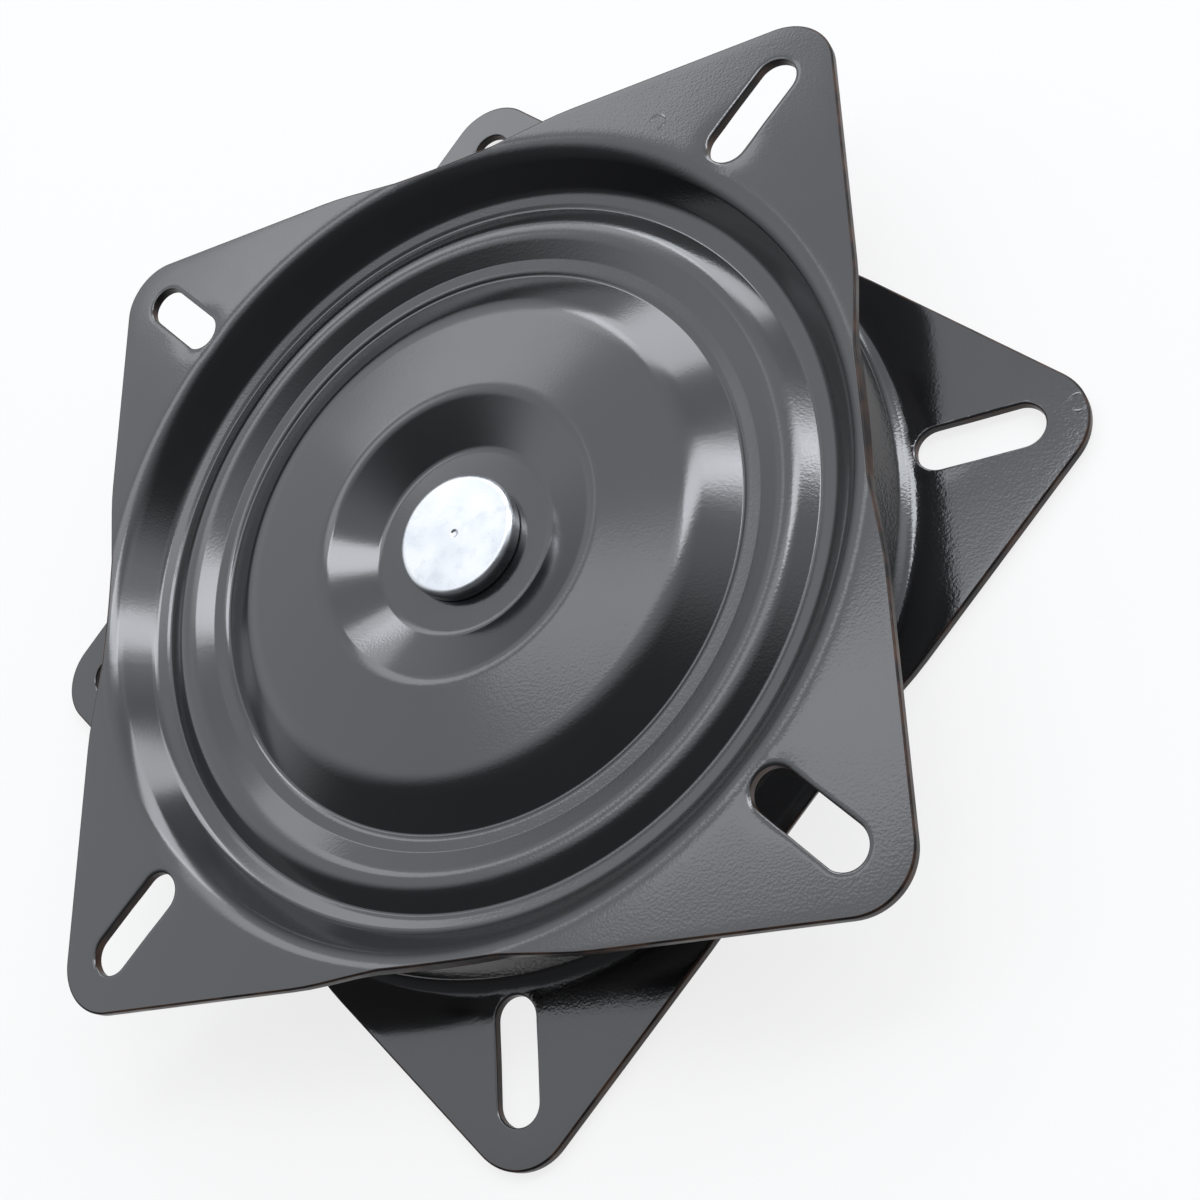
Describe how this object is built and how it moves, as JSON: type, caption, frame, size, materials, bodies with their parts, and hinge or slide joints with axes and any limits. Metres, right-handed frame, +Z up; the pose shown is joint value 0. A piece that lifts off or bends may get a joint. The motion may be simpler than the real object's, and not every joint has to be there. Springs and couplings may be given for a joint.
{
  "type": "seat swivel plate",
  "caption": "Square seat swivel plate: two pressed steel plates with slotted corners turn on a ring of balls around one central rivet.",
  "frame": {"origin": "on the swivel axis, level with the underside of the lower plate's corners", "axes": "+Z up along the swivel axis, towards the seat; the lower plate's diagonals, with their slots, lie along X and Y"},
  "size_m": [0.2108, 0.2108, 0.024],
  "materials": {
    "black_paint": "glossy black enamel, slight orange peel",
    "zinc_plated_steel": "bright zinc plate",
    "plain_steel": "plain, greased",
    "nylon": "natural",
    "ball_steel": "polished"
  },
  "bodies": {
    "base": {"lower_plate": "black_paint", "centre_rivet": "zinc_plated_steel", "centre_spacer": "plain_steel", "thrust_washer": "nylon"},
    "seat_side": {"upper_plate": "black_paint"},
    "ball_ring": {"ball_cage": "plain_steel", "ball_01": "ball_steel", "ball_02": "ball_steel", "ball_03": "ball_steel", "ball_04": "ball_steel", "ball_05": "ball_steel", "ball_06": "ball_steel", "ball_07": "ball_steel", "ball_08": "ball_steel", "ball_09": "ball_steel", "ball_10": "ball_steel", "ball_11": "ball_steel", "ball_12": "ball_steel", "ball_13": "ball_steel", "ball_14": "ball_steel", "ball_15": "ball_steel", "ball_16": "ball_steel", "ball_17": "ball_steel", "ball_18": "ball_steel", "ball_19": "ball_steel", "ball_20": "ball_steel", "ball_21": "ball_steel", "ball_22": "ball_steel", "ball_23": "ball_steel", "ball_24": "ball_steel"}
  },
  "joints": [
    {"name": "swivel", "type": "hinge", "parent": "base", "child": "seat_side", "pos_m": [0, 0, 0.012], "axis": [0, 0, 1], "continuous": true},
    {"name": "ball_ring_orbit", "type": "hinge", "parent": "base", "child": "ball_ring", "pos_m": [0, 0, 0.012], "axis": [0, 0, 1], "continuous": true}
  ],
  "couplings": [
    {"joint": "ball_ring_orbit", "follows": "swivel", "ratio": 0.5}
  ]
}
